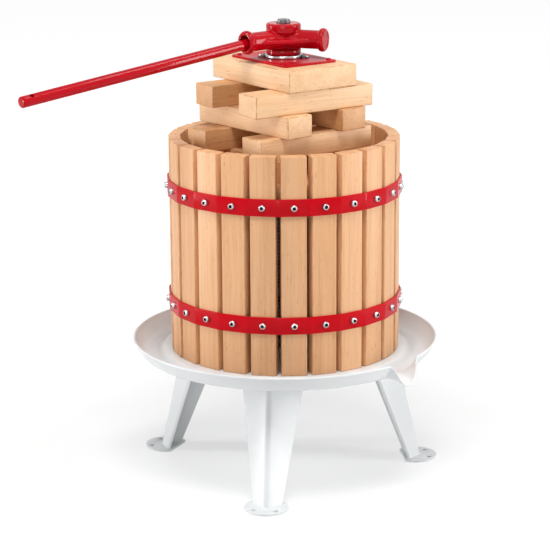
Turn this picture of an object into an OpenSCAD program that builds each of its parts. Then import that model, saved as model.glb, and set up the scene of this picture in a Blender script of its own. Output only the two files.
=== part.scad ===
// Fruit press: a slatted basket on a white tray with three legs, and a screw head that drives
// half-round plates down through a stack of loose beams.
// Millimetres, +Z up, pouring spout towards -Y, origin on the ground midway between the front foot's holes.

/* [Basket] */
// Number of staves round the basket
stave_count = 24; // [18:1:25]
// Width of one stave
stave_w = 32.5; // [24:0.5:34]
// Thickness of one stave
stave_t = 16; // [10:0.5:20]
// Length of one stave
stave_h = 282.5; // [220:0.5:340]
// Distance from the axis to the outer faces of the staves
basket_r = 150; // [145:0.5:152]
// Bevel along the edges of the wooden pieces
wood_bevel = 1.5; // [0.5:0.25:3]

/* [Hoops] */
// Height of the hoop strip
hoop_h = 22; // [14:0.5:30]
// Thickness of the hoop strip
hoop_t = 2.5; // [1.5:0.25:4]
// Rise of the lower hoop's middle above the staves' lower ends
lower_hoop_rise = 66.5; // [40:0.5:90]
// Drop of the upper hoop's middle below the staves' upper ends
upper_hoop_drop = 64; // [40:0.5:90]
// Diameter of a hoop screw's head
hoop_screw_head_d = 8.5; // [6:0.5:12]
// Height of a hoop screw's head
hoop_screw_head_h = 4; // [2:0.5:6]
// Diameter of a hoop screw's shank
hoop_screw_d = 4; // [3:0.5:5]
// Length of a hoop screw's shank
hoop_screw_l = 13; // [8:0.5:16]

/* [Tray] */
// Height above the ground of the tray floor that the basket stands on
tray_floor_z = 167.5; // [140:0.5:200]
// Thickness of the tray sheet
tray_sheet = 2; // [1.5:0.25:3]
// Radius of the raised floor, where the ramp to the gutter starts
tray_floor_r = 159; // [154:0.5:162]
// Radius at which the ramp reaches the gutter
gutter_in_r = 172; // [166:0.5:176]
// Radius at which the gutter turns up into the wall
gutter_out_r = 181; // [178:0.5:188]
// Depth of the gutter below the raised floor
gutter_drop = 7; // [3:0.5:12]
// Radius of the rim's outer edge
tray_rim_r = 201; // [195:0.5:215]
// Height of the rim above the gutter
tray_wall_h = 19.5; // [12:0.5:30]
// Radius of the rolled bead on the rim
rim_bead_r = 1.7; // [1.6:0.1:3]
// Angle from the middle of the spout to where the rim is undisturbed
spout_half_angle = 8.5; // [6:0.5:12]
// How far the spout's lip ends below the gutter
spout_fall = 9; // [4:0.5:16]
// How far the spout's lip stands out past the rim
spout_reach = 8; // [4:0.5:20]

/* [Legs] */
// Direction of the front leg round the axis
leg_front = -147.5; // [-160:0.5:-130]
// Angle from the front leg to each of the other two
leg_spread = 105; // [95:0.5:120]
// Radius of a leg's ridge at the ground
leg_foot_r = 185; // [172:1:196]
// Radius of a leg's ridge at the tray
leg_top_r = 147; // [140:0.5:150]
// Width of a leg's flange at the tray
flange_top_w = 60; // [48:1:64]
// Width of a leg's flange at the foot
flange_foot_w = 26; // [22:1:36]
// Thickness of the leg sheet
leg_sheet = 3; // [2:0.25:4]
// Outer radius of the bend along a leg's ridge
leg_bend_r = 7; // [5:0.5:10]
// Diameter of a screw hole in a foot
foot_hole_d = 7; // [5:0.5:9]
// Distance between the two screw holes of a foot
foot_hole_spacing = 29; // [26:0.5:34]
// Distance of the foot's screw holes outside the ridge
foot_hole_out = 8.5; // [8:0.5:11]
// Radius of the rounded foot
foot_round_r = 28.5; // [28:0.5:34]
// Distance of the foot's tip outside the ridge
foot_tip_out = 22; // [20:0.5:32]
// Diameter of a stud that holds a leg to the tray
leg_stud_d = 6; // [5:0.5:8]
// Distance of the studs' pairs inside the leg's ridge at the tray
leg_stud_in = 33; // [31:0.5:37]
// Distance between the two studs of a leg
leg_stud_spacing = 34; // [28:0.5:38]

/* [Spindle] */
// Diameter of the spindle
spindle_d = 18; // [16:0.5:22]
// Length of the spindle above the tray floor
spindle_h = 432.5; // [420:0.5:480]
// Diameter of the collar that seats on the tray floor
spindle_collar_d = 44; // [36:1:60]
// Height of that collar
spindle_collar_h = 6; // [4:0.5:10]
// Width across the flats of the nut under the tray
spindle_nut_af = 27; // [26:0.5:34]
// Height of the nut under the tray
spindle_nut_h = 14; // [10:0.5:20]

/* [Press stack] */
// Rest height of the press plates' underside above the tray floor
press_rise = 216.5; // [180:0.5:240]
// Thickness of the half-round press plates
press_plate_t = 24; // [16:0.5:30]
// Play between the press plates and the basket's inside
press_play = 4; // [2:0.5:8]
// Height of a beam
beam_h = 28; // [22:0.5:32]
// Width of a beam
beam_w = 40; // [32:0.5:44]
// Length of a beam
beam_l = 180; // [160:1:182]
// Distance between the middles of a layer's two beams
beam_spacing = 100; // [80:1:102]
// Direction of the stack round the axis
stack_turn = -13.5; // [-45:0.5:45]
// Size of the top block along the upper beams
block_w = 106; // [92:1:120]
// Size of the top block across the upper beams
block_l = 170; // [140:1:180]
// Height of the top block
block_h = 28; // [22:0.5:36]
// Size of the thrust plate along the upper beams
thrust_plate_w = 82; // [66:1:90]
// Size of the thrust plate across the upper beams
thrust_plate_l = 120; // [80:1:132]
// Thickness of the thrust plate
thrust_plate_t = 3; // [2:0.5:6]
// Outer radius of the thrust ring
thrust_ring_r = 24; // [23:0.5:28]
// Thickness of the thrust ring
thrust_ring_t = 4.5; // [3:0.5:8]

/* [Screw head] */
// Height of the cast hub
hub_h = 40; // [36:0.5:56]
// Radius of the hub's two collars
hub_r = 22.5; // [20:0.5:23]
// Radius of the hub's waist
hub_waist_r = 14.5; // [13:0.5:17]
// Height of the arms' axis above the hub's underside
arm_rise = 20; // [18:0.5:22]
// Diameter of an arm
arm_d = 24; // [22:0.5:28]
// Diameter of the bead at an arm's end
arm_bead_d = 30.5; // [28:0.5:36]
// Distance from the axis to the end face of the arm with the socket
arm_reach = 65; // [56:0.5:80]
// Distance from the axis to the end face of the closed arm
closed_arm_reach = 58; // [50:0.5:72]
// Angle from the lever's arm to the other arm
arm_spread = 120; // [90:1:150]
// Direction of the lever's arm round the axis
lever_turn = 170.5; // [150:0.5:190]
// Thickness of the web between the arms
web_t = 7; // [4:0.5:10]

/* [Lever] */
// Diameter of the lever bar
lever_d = 14; // [12:0.5:16]
// Length of the lever bar
lever_l = 385; // [300:1:450]
// Diameter of the socket that holds the lever loosely
socket_d = 19.25; // [17.5:0.25:20]
// Depth of that socket
socket_depth = 46; // [38:0.5:46]
// Diameter of the cross hole near the lever's outer end
lever_hole_d = 5; // [3:0.5:7]
// Distance of the cross hole from the lever's outer end
lever_hole_inset = 14; // [10:0.5:30]

/* [Hidden] */
$fn = 64;

// Clearances
screw_gap = 0.1;
bolt_gap = 0.3;
running_gap = 0.05;
thrust_gap = 0.1;
spindle_play = 3;
stave_seat_gap = 0.15;

// Colours
beech = [0.91, 0.75, 0.54];
red_paint = [0.77, 0.05, 0.11];
white_enamel = [0.93, 0.93, 0.94];
steel = [0.74, 0.74, 0.76];

// Levels above the ground
tray_under_z = tray_floor_z - tray_sheet;
gutter_z = tray_floor_z - gutter_drop;
rim_z = tray_floor_z + stave_h;
press_z = tray_floor_z + press_rise;
beams_z = press_z + press_plate_t;
layer_count = 4;
block_z = beams_z + layer_count * beam_h;
thrust_plate_z = block_z + block_h;
thrust_ring_z = thrust_plate_z + thrust_plate_t;
head_z = thrust_ring_z + thrust_ring_t + thrust_gap;
spindle_top_z = tray_floor_z + spindle_h;
lower_hoop_z = tray_floor_z + lower_hoop_rise;
upper_hoop_z = rim_z - upper_hoop_drop;

// Basket
stave_step = 360 / stave_count;
inner_r = basket_r - stave_t;
hoop_in_r = basket_r + stave_seat_gap;
hoop_out_r = hoop_in_r + hoop_t;
pilot_depth = hoop_screw_l - hoop_t + screw_gap;

// Tray section: a polyline along the sheet's upper side, its offset, and the rolled rim between them
ramp_steps = 4;
wall_steps = 7;
bead_steps = 4;
spout_steps = 22;
ring_steps = 56;
spout_turn = -90;
tray_hole_r = spindle_d / 2 + bolt_gap;
tray_angles = concat(
    [for (i = [0 : spout_steps]) spout_half_angle * (2 * i / spout_steps - 1)],
    [for (i = [1 : ring_steps - 1]) spout_half_angle + (360 - 2 * spout_half_angle) * i / ring_steps]
);
bead_mid_r = tray_rim_r - rim_bead_r;
wall_run = bead_mid_r - gutter_out_r;
spout_ratio = 1 + spout_fall / tray_wall_h;
function spout_bell(angle) =
    abs(angle) >= spout_half_angle ? 0 : (1 + cos(180 * angle / spout_half_angle)) / 2;
function ramp_point(q) = [
    tray_floor_r + (gutter_in_r - tray_floor_r) * q,
    tray_floor_z - gutter_drop * (1 - cos(180 * q)) / 2
];
function wall_point(s, bell) = [
    gutter_out_r + wall_run * s + spout_reach * s * s * bell,
    gutter_z + tray_wall_h * s * s * (1 - spout_ratio * bell)
];
function upper_side(bell) = concat(
    [[tray_hole_r, tray_floor_z]],
    [for (i = [0 : ramp_steps]) ramp_point(i / ramp_steps)],
    [for (i = [0 : wall_steps]) wall_point(i / wall_steps, bell)]
);
function right_normal(v) = [v.y, -v.x] / norm(v);
function side_normal(line, i) =
    right_normal(line[min(i + 1, len(line) - 1)] - line[max(i - 1, 0)]);
function under_side(line) = [
    for (i = [0 : len(line) - 1]) line[i] + tray_sheet * (i < 2 ? [0, -1] : side_normal(line, i))
];
function rim_bead(line) =
    let (
        last = len(line) - 1,
        out = side_normal(line, last),
        along = [-out.y, out.x],
        middle = line[last] + out * tray_sheet / 2
    )
    [for (k = [0 : bead_steps])
        let (turn = 180 * k / bead_steps)
        middle + rim_bead_r * (sin(turn) * along - cos(turn) * out)];
function tray_section(bell) =
    let (
        upper = upper_side(bell),
        under = under_side(upper),
        kept = len(upper) - 2
    )
    concat(
        [for (i = [0 : kept]) upper[i]],
        rim_bead(upper),
        [for (i = [kept : -1 : 0]) under[i]]
    );

// Legs
leg_turns = [leg_front, leg_front + leg_spread, leg_front - leg_spread];
leg_lean = atan2(leg_foot_r - leg_top_r, tray_under_z);
ridge_l = norm([leg_foot_r - leg_top_r, tray_under_z]);
leg_bend_steps = 8;
foot_half_w = flange_foot_w / sqrt(2);
top_half_w = flange_top_w / sqrt(2);
leg_stud_r = leg_top_r - leg_stud_in;
pad_in_r = leg_stud_r - leg_stud_d * 2;
foot_back = foot_half_w + 2 * leg_sheet;
leg_nut_af = leg_stud_d * 5 / 3;
leg_nut_h = leg_stud_d * 4 / 5;
leg_stud_end = leg_stud_d / 3;

// Spindle fixing
spindle_washer_t = 3;
spindle_washer_r = spindle_collar_d / 2;
spindle_nut_top = tray_under_z - spindle_washer_t;
spindle_end_z = spindle_nut_top - spindle_nut_h - spindle_d / 4;
spindle_chamfer = spindle_d / 12;

// Press stack: each beam has its layer, its side, its skew, and its slips along and across itself as shares
// of its length and width, because the beams are laid by hand
press_r = inner_r - press_play;
plate_kerf = 2;
spindle_hole_r = spindle_d / 2 + spindle_play;
beams = [
    [0, -1, 0, 0, 0], [0, 1, 0, 0, 0],
    [1, -1, 2, -0.04, -0.21], [1, 1, 2, -0.11, -0.21],
    [2, -1, 4, -0.01, 0.25], [2, 1, 4, 0, -0.025],
    [3, -1, -1.5, -0.045, -0.31], [3, 1, -1.5, -0.045, -0.31]
];
plate_screw_d = 4;
plate_screw_head_r = 3.5;
plate_screw_head_h = 2;
plate_screw_l = 18;
plate_screw_inset = 8;
head_taper = 0.7;
clip_turn = -60;
clip_w = 8;
clip_t = 2;
clip_foot = 7;
clip_screw_d = 2.5;

// Screw head
hub_collar_h = 7;
hub_round = 2;
arm_flare = 4;
arm_flare_l = 9;
bead_l = 9;
web_drop = web_t * 3 / 4;
dish_depth = 1.2;
dish_slope = 3;
socket_start = arm_reach - socket_depth;
lever_contact_gap = 0.3;
lever_droop = atan2(socket_d - lever_d - 2 * lever_contact_gap, socket_depth);
lever_chamfer = 1;

// The spindle's axis stands at this place, so that the origin is midway between the front foot's holes
axis_place = -(leg_foot_r + foot_hole_out) * [cos(leg_front), sin(leg_front), 0];

function two_digits(i) = str(i < 10 ? "0" : "", i);
function stave_name(i) = str("stave_", two_digits(i + 1));
function beam_name(i) = str("beam_", i + 1);
function leg_name(i) = str("leg_", i + 1);

// Every piece is drawn about the spindle's axis and then put in its place
module placed() {
    translate(axis_place) children();
}

// A rectangle with its corners cut off
module bevelled_rect(w, h, bevel) {
    polygon([
        [-w / 2 + bevel, -h / 2], [w / 2 - bevel, -h / 2], [w / 2, -h / 2 + bevel], [w / 2, h / 2 - bevel],
        [w / 2 - bevel, h / 2], [-w / 2 + bevel, h / 2], [-w / 2, h / 2 - bevel], [-w / 2, -h / 2 + bevel]
    ]);
}

// A wooden bar on the plane z = 0, middle on the axis, with every edge bevelled
module wooden_bar(x, y, z) {
    translate([0, 0, z / 2]) intersection() {
        linear_extrude(z, center = true) bevelled_rect(x, y, wood_bevel);
        rotate([90, 0, 0]) linear_extrude(y, center = true) bevelled_rect(x, z, wood_bevel);
        rotate([90, 0, 90]) linear_extrude(x, center = true) bevelled_rect(y, z, wood_bevel);
    }
}

module ring(out_r, in_r, h) {
    difference() {
        cylinder(r = out_r, h = h);
        translate([0, 0, -1]) cylinder(r = in_r, h = h + 2);
    }
}

// A radial cylinder that starts r from the axis and points away from it
module radial_rod(r, l, d) {
    translate([r, 0, 0]) rotate([0, 90, 0]) cylinder(d = d, h = l);
}

// A hexagonal prism with a plain bore
module hex_nut(af, h, bore_d) {
    difference() {
        cylinder(d = af / cos(30), h = h, $fn = 6);
        translate([0, 0, -1]) cylinder(d = bore_d, h = h + 2);
    }
}

module at_legs() {
    for (turn = leg_turns) rotate(turn) children();
}

module at_leg_studs() {
    for (side = [-1, 1]) translate([leg_stud_r, side * leg_stud_spacing / 2, 0]) children();
}

// The pressed dish: raised floor, gutter, wall, rolled rim and the spout drawn out of its wall
module tray() {
    sections = [for (angle = tray_angles)
        [for (p = tray_section(spout_bell(angle)))
            [p.x * cos(spout_turn + angle), p.x * sin(spout_turn + angle), p.y]]];
    n = len(sections[0]);
    count = len(sections);
    sides = [for (i = [0 : count - 1], j = [0 : n - 1])
        let (a = i * n, b = (i + 1) % count * n, k = (j + 1) % n)
        each [[a + j, b + j, a + k], [a + k, b + j, b + k]]];
    color(white_enamel) polyhedron([for (section = sections) each section], sides);
}

// Angle section with a rounded ridge at the origin, opening towards -X and wider than the leg
module leg_section() {
    reach = flange_top_w;
    bend = [for (i = [0 : leg_bend_steps]) 90 * i / leg_bend_steps - 45];
    function flange(turn, r) = [
        r * cos(turn) - leg_bend_r - reach / sqrt(2),
        r * sin(turn) + sign(turn) * reach / sqrt(2)
    ];
    function arc(turns, r) = [for (turn = turns) [r * cos(turn) - leg_bend_r, r * sin(turn)]];
    inside_r = leg_bend_r - leg_sheet;
    back = [for (i = [leg_bend_steps : -1 : 0]) bend[i]];
    polygon(concat(
        [flange(-45, leg_bend_r)], arc(bend, leg_bend_r), [flange(45, leg_bend_r)],
        [flange(45, inside_r)], arc(back, inside_r), [flange(-45, inside_r)]
    ));
}

// The angle section along the leaning ridge, longer than the leg at both ends
module leg_angle() {
    spare = flange_top_w;
    translate([leg_foot_r, 0, 0]) rotate([0, -leg_lean, 0]) translate([0, 0, -spare])
        linear_extrude(ridge_l + 2 * spare) leg_section();
}

// Front outline of a leg, wide at the tray and narrow at the foot
module leg_outline() {
    rotate([90, 0, 90]) linear_extrude(leg_foot_r + leg_bend_r) polygon([
        [-foot_half_w, leg_sheet / 2], [foot_half_w, leg_sheet / 2],
        [top_half_w, tray_under_z], [-top_half_w, tray_under_z]
    ]);
}

// Flat rounded foot with a straight back and two screw holes outside the ridge
module leg_foot() {
    wide = 2 * foot_round_r;
    translate([leg_foot_r, 0, 0]) difference() {
        translate([foot_tip_out - foot_round_r, 0, 0]) cylinder(r = foot_round_r, h = leg_sheet);
        translate([-foot_back - wide, -foot_round_r, -1]) cube([wide, wide, leg_sheet + 2]);
        for (side = [-1, 1]) translate([foot_hole_out, side * foot_hole_spacing / 2, -1])
            cylinder(d = foot_hole_d, h = leg_sheet + 2);
    }
}

// Flat pad that joins the flanges and is held to the tray's underside by the studs
module leg_pad() {
    corner = leg_bend_r * (sqrt(2) - 1) - leg_sheet / sqrt(2);
    side_y = top_half_w - leg_sheet;
    side_x = leg_top_r + corner - side_y;
    nose_y = corner + leg_sheet / 2;
    nose_x = leg_top_r - leg_sheet / 2;
    translate([0, 0, tray_under_z - leg_sheet]) difference() {
        linear_extrude(leg_sheet) polygon([
            [pad_in_r, -leg_stud_spacing], [side_x, -side_y], [nose_x, -nose_y],
            [nose_x, nose_y], [side_x, side_y], [pad_in_r, leg_stud_spacing]
        ]);
        translate([0, 0, -1]) at_leg_studs() cylinder(d = leg_stud_d + 2 * bolt_gap, h = leg_sheet + 2);
    }
}

module leg(i) {
    color(white_enamel) rotate(leg_turns[i]) {
        intersection() {
            leg_angle();
            leg_outline();
        }
        leg_pad();
        leg_foot();
    }
}

// Studs welded to the tray's underside, so that no hole lets the juice through
module leg_studs() {
    l = leg_sheet + leg_nut_h + leg_stud_end;
    color(steel) at_legs() at_leg_studs() translate([0, 0, tray_under_z - l]) cylinder(d = leg_stud_d, h = l);
}

module leg_nuts() {
    color(steel) at_legs() at_leg_studs() translate([0, 0, tray_under_z - leg_sheet - leg_nut_h])
        hex_nut(leg_nut_af, leg_nut_h, leg_stud_d + 2 * running_gap);
}

module spindle() {
    r = spindle_d / 2;
    color(steel) rotate_extrude() polygon([
        [0, spindle_end_z], [r - spindle_chamfer, spindle_end_z], [r, spindle_end_z + spindle_chamfer],
        [r, tray_floor_z], [spindle_collar_d / 2, tray_floor_z],
        [spindle_collar_d / 2, tray_floor_z + spindle_collar_h / 2],
        [r, tray_floor_z + spindle_collar_h], [r, spindle_top_z - spindle_chamfer],
        [r - spindle_chamfer, spindle_top_z], [0, spindle_top_z]
    ]);
}

module spindle_washer() {
    color(steel) translate([0, 0, spindle_nut_top])
        ring(spindle_washer_r, spindle_d / 2 + bolt_gap, spindle_washer_t);
}

module spindle_nut() {
    color(steel) translate([0, 0, spindle_nut_top - spindle_nut_h])
        hex_nut(spindle_nut_af, spindle_nut_h, spindle_d + 2 * running_gap);
}

module stave(i) {
    pilot_d = hoop_screw_d + 2 * screw_gap;
    color(beech) rotate(i * stave_step) difference() {
        translate([basket_r - stave_t / 2, 0, tray_floor_z]) wooden_bar(stave_t, stave_w, stave_h);
        for (z = [lower_hoop_z, upper_hoop_z]) translate([0, 0, z])
            radial_rod(hoop_in_r - pilot_depth, pilot_depth, pilot_d);
    }
}

// The outline of a hoop's face: flat on each stave and bent at each gap
module hoop_outline(face_r) {
    bend_r = face_r / cos(stave_step / 2);
    polygon([for (i = [0 : stave_count - 1])
        let (turn = (i + 1 / 2) * stave_step)
        bend_r * [cos(turn), sin(turn)]]);
}

module hoop(z) {
    color(red_paint) translate([0, 0, z]) difference() {
        linear_extrude(hoop_h, center = true) difference() {
            hoop_outline(hoop_out_r);
            hoop_outline(hoop_in_r);
        }
        for (i = [0 : stave_count - 1]) rotate(i * stave_step)
            radial_rod(hoop_in_r - hoop_t, 3 * hoop_t, hoop_screw_d + 2 * screw_gap);
    }
}

module hoop_screws(z) {
    color(steel) translate([0, 0, z]) for (i = [0 : stave_count - 1]) rotate(i * stave_step) {
        radial_rod(hoop_out_r - hoop_screw_l, hoop_screw_l, hoop_screw_d);
        radial_rod(hoop_out_r, hoop_screw_head_h, hoop_screw_head_d);
    }
}

// One of the two half-round plates that lie on the fruit
module press_plate(side) {
    color(beech) rotate(stack_turn) translate([0, 0, press_z]) difference() {
        intersection() {
            union() {
                cylinder(r1 = press_r - wood_bevel, r2 = press_r, h = wood_bevel);
                translate([0, 0, wood_bevel]) cylinder(r = press_r, h = press_plate_t - 2 * wood_bevel);
                translate([0, 0, press_plate_t - wood_bevel])
                    cylinder(r1 = press_r, r2 = press_r - wood_bevel, h = wood_bevel);
            }
            translate([-press_r, side > 0 ? plate_kerf / 2 : -press_r - plate_kerf / 2, 0])
                cube([2 * press_r, press_r, press_plate_t]);
        }
        translate([0, 0, -1]) cylinder(r = spindle_hole_r, h = press_plate_t + 2);
    }
}

// A beam lies in its layer beside the spindle; odd layers run along the stack, even ones across it
module beam(i) {
    b = beams[i];
    across = b[0] % 2 == 0;
    color(beech) translate([0, 0, beams_z + b[0] * beam_h]) rotate(stack_turn + b[2] + (across ? 90 : 0))
        translate([b[3] * beam_l, b[1] * beam_spacing / 2 + b[4] * beam_w, 0])
            wooden_bar(beam_l, beam_w, beam_h);
}

module on_stack(z) {
    rotate(stack_turn) translate([0, 0, z]) children();
}

module at_plate_screws() {
    side_x = thrust_plate_w / 2 - plate_screw_inset;
    side_y = thrust_plate_l / 2 - plate_screw_inset;
    for (x = [-side_x, side_x], y = [-side_y, side_y]) translate([x, y, 0]) children();
}

module top_block() {
    pilot_l = plate_screw_l - thrust_plate_t + screw_gap;
    color(beech) on_stack(block_z) difference() {
        wooden_bar(block_w, block_l, block_h);
        translate([0, 0, -1]) cylinder(r = spindle_hole_r, h = block_h + 2);
        translate([0, 0, block_h - pilot_l]) at_plate_screws()
            cylinder(d = plate_screw_d + 2 * screw_gap, h = pilot_l + 1);
    }
}

module thrust_plate() {
    color(red_paint) on_stack(thrust_plate_z) difference() {
        linear_extrude(thrust_plate_t) bevelled_rect(thrust_plate_w, thrust_plate_l, thrust_plate_t);
        translate([0, 0, -1]) {
            cylinder(r = spindle_hole_r, h = thrust_plate_t + 2);
            at_plate_screws() cylinder(d = plate_screw_d + 2 * screw_gap, h = thrust_plate_t + 2);
            at_clip_screws() cylinder(d = clip_screw_d + 2 * screw_gap, h = thrust_plate_t + 2);
        }
    }
}

module plate_screws() {
    color(steel) on_stack(thrust_ring_z) at_plate_screws() {
        translate([0, 0, -plate_screw_l]) cylinder(d = plate_screw_d, h = plate_screw_l);
        cylinder(r1 = plate_screw_head_r, r2 = plate_screw_head_r * head_taper, h = plate_screw_head_h);
    }
}

module thrust_ring() {
    color(steel) translate([0, 0, thrust_ring_z]) ring(thrust_ring_r, spindle_hole_r, thrust_ring_t);
}

module at_clips() {
    for (turn = [0, 180]) rotate(clip_turn + turn) children();
}

module at_clip_screws() {
    rotate(-stack_turn) at_clips()
        translate([thrust_ring_r + screw_gap + clip_t + clip_foot / 2, 0, 0]) children();
}

// Bent clips beside the thrust ring, a foot on the plate and a leaf against the ring
module ring_clips() {
    color(steel) translate([0, 0, thrust_ring_z]) at_clips()
        translate([thrust_ring_r + screw_gap, -clip_w / 2, 0]) {
            cube([clip_t, clip_w, thrust_ring_t]);
            difference() {
                cube([clip_t + clip_foot, clip_w, clip_t / 2]);
                translate([clip_t + clip_foot / 2, clip_w / 2, -1])
                    cylinder(d = clip_screw_d + 2 * screw_gap, h = clip_t + 2);
            }
        }
}

module clip_screws() {
    l = clip_t / 2 + thrust_plate_t;
    color(steel) on_stack(thrust_ring_z + clip_t / 2) at_clip_screws() {
        translate([0, 0, -l]) cylinder(d = clip_screw_d, h = l);
        cylinder(r1 = clip_screw_d, r2 = clip_screw_d * head_taper, h = clip_t);
    }
}

// Spool-shaped hub: two collars joined by concave flares to a waist
module hub() {
    flare_steps = 8;
    flare = hub_r - hub_waist_r;
    low = hub_collar_h;
    high = hub_h - hub_collar_h;
    lower_flare = [for (i = [0 : flare_steps]) let (q = 90 * i / flare_steps)
        [hub_r - flare * sin(q), low + flare * (1 - cos(q))]];
    upper_flare = [for (i = [0 : flare_steps]) let (q = 90 * i / flare_steps)
        [hub_r - flare * cos(q), high - flare * (1 - sin(q))]];
    rotate_extrude() polygon(concat(
        [[0, 0], [hub_r - hub_round / 2, 0], [hub_r, hub_round / 2]],
        lower_flare,
        upper_flare,
        [[hub_r, hub_h - hub_round], [hub_r - hub_round, hub_h], [0, hub_h]]
    ));
}

// One arm along +X: a flared root, a round shaft and a rounded bead at its end
module arm(reach) {
    round_steps = 8;
    root_steps = 4;
    bead_rise = (arm_bead_d - arm_d) / 2;
    bead = [for (i = [0 : round_steps]) let (q = 180 * i / round_steps)
        [arm_d / 2 + bead_rise * sin(q), reach - bead_l / 2 - bead_l / 2 * cos(q)]];
    root = [for (i = [0 : root_steps]) let (q = 90 * i / root_steps)
        [arm_d / 2 + arm_flare * (1 - sin(q)), hub_waist_r + arm_flare_l * (1 - cos(q))]];
    middle = [[0, 0], [arm_d / 2 + arm_flare, 0]];
    rotate([0, 90, 0]) rotate_extrude() polygon(concat(middle, root, bead, [[0, reach]]));
}

// Level web that ties the two arms together in front of the hub
module arm_web() {
    end = arm_reach - bead_l;
    closed_end = closed_arm_reach - bead_l;
    translate([0, 0, -web_drop]) linear_extrude(web_t)
        polygon([[0, 0], [end, 0], closed_end * [cos(arm_spread), sin(arm_spread)]]);
}

module head_casting() {
    color(red_paint) translate([0, 0, head_z]) difference() {
        union() {
            hub();
            translate([0, 0, arm_rise]) rotate(lever_turn) {
                arm(arm_reach);
                rotate(arm_spread) arm(closed_arm_reach);
                arm_web();
            }
        }
        translate([0, 0, -1]) cylinder(d = spindle_d + 2 * running_gap, h = hub_h + 2);
        translate([0, 0, arm_rise]) rotate(lever_turn) {
            radial_rod(socket_start, socket_depth + 1, socket_d);
            rotate(arm_spread) translate([closed_arm_reach - dish_depth, 0, 0]) rotate([0, 90, 0])
                cylinder(d1 = arm_d - dish_slope * dish_depth, d2 = arm_d, h = 2 * dish_depth);
        }
    }
}

// The lever rests on the lip of its loose socket and under the socket's roof, so it droops
module lever() {
    inner_l = socket_depth / 2 - lever_contact_gap;
    color(red_paint) translate([0, 0, head_z + arm_rise]) rotate(lever_turn)
        translate([socket_start + socket_depth / 2, 0, 0]) rotate([0, 90 + lever_droop, 0]) difference() {
            translate([0, 0, -inner_l]) {
                cylinder(d1 = lever_d - 2 * lever_chamfer, d2 = lever_d, h = lever_chamfer);
                translate([0, 0, lever_chamfer]) cylinder(d = lever_d, h = lever_l - 2 * lever_chamfer);
                translate([0, 0, lever_l - lever_chamfer])
                    cylinder(d1 = lever_d, d2 = lever_d - 2 * lever_chamfer, h = lever_chamfer);
            }
            translate([-lever_d, 0, lever_l - inner_l - lever_hole_inset]) rotate([0, 90, 0])
                cylinder(d = lever_hole_d, h = 2 * lever_d);
        }
}

placed() tray();
for (i = [0 : len(leg_turns) - 1]) placed() leg(i);
placed() leg_studs();
placed() leg_nuts();
placed() spindle();
placed() spindle_washer();
placed() spindle_nut();
for (i = [0 : stave_count - 1]) placed() stave(i);
placed() hoop(upper_hoop_z);  // upper_hoop
placed() hoop(lower_hoop_z);  // lower_hoop
placed() hoop_screws(upper_hoop_z);  // upper_hoop_screws
placed() hoop_screws(lower_hoop_z);  // lower_hoop_screws
placed() press_plate(1);  // press_plate_1
placed() press_plate(-1);  // press_plate_2
for (i = [0 : len(beams) - 1]) placed() beam(i);
placed() top_block();
placed() thrust_plate();
placed() plate_screws();
placed() thrust_ring();
placed() ring_clips();
placed() clip_screws();
placed() head_casting();
placed() lever();
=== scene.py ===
"""Looks of a fruit press: beech basket and beams, red iron, white enamel tray and legs, steel screw.

Pieces are drawn about the spindle's axis, in metres, and then put in their place.
"""

import math
import random

import bmesh
import bpy
import numpy as np
from mathutils import Matrix, Vector


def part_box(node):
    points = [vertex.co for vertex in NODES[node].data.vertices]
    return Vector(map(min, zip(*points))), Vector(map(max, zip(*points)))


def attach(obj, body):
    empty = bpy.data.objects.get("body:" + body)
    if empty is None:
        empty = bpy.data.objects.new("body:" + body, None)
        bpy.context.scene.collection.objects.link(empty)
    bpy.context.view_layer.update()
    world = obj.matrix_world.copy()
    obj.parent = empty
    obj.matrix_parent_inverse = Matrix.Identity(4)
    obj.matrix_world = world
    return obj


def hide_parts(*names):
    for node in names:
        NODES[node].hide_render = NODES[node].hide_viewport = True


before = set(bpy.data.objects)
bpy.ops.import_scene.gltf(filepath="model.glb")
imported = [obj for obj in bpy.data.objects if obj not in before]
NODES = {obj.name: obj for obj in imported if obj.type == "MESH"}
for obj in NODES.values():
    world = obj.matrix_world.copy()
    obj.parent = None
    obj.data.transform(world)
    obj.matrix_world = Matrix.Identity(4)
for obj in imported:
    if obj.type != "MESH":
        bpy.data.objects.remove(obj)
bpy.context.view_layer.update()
MM = 0.001
WELD = 0.01 * MM
FINE_WELD = 0.002 * MM
spindle_low, spindle_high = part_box("spindle")
AXIS = Vector((*((spindle_low + spindle_high) / 2).xy, 0))
FROM_AXIS = Matrix.Translation(AXIS)

# Basket
STAVE_COUNT = 24
STAVE_STEP = math.tau / STAVE_COUNT
STAVE_SIZE = Vector((16, 32.5, 282.5)) * MM
STAVE_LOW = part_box("stave_01")[0].z
BASKET_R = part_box("stave_01")[1].x - AXIS.x
WOOD_ROUND = 1.4 * MM

# Hoops and their screws
HOOP_H = 22 * MM
HOOP_T = 2.5 * MM
HOOP_SEAT_GAP = 0.15 * MM
HOOP_FACE_R = BASKET_R + HOOP_SEAT_GAP
HOOP_BEND_R = 14 * MM
HOOP_EDGE = 0.7 * MM
SCREW_HEAD_R = 4.25 * MM
SCREW_HEAD_H = 4 * MM
SCREW_FOOT_R = 4.08 * MM
SCREW_FOOT_H = 0.2 * MM
SCREW_RIM_H = 1.3 * MM
SCREW_TOP_R = 2.55 * MM

# Hexagon socket of a screw: half widths across its flats, and depths below the head's top
SOCKET_HALF = 2 * MM
SOCKET_MOUTH_HALF = 2.16 * MM
SOCKET_MOUTH_DEPTH = 0.15 * MM
SOCKET_DEPTH = 2.4 * MM
SOCKET_POINT_DEPTH = 2.8 * MM
SOCKET_POINT_R = 0.2 * MM

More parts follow.
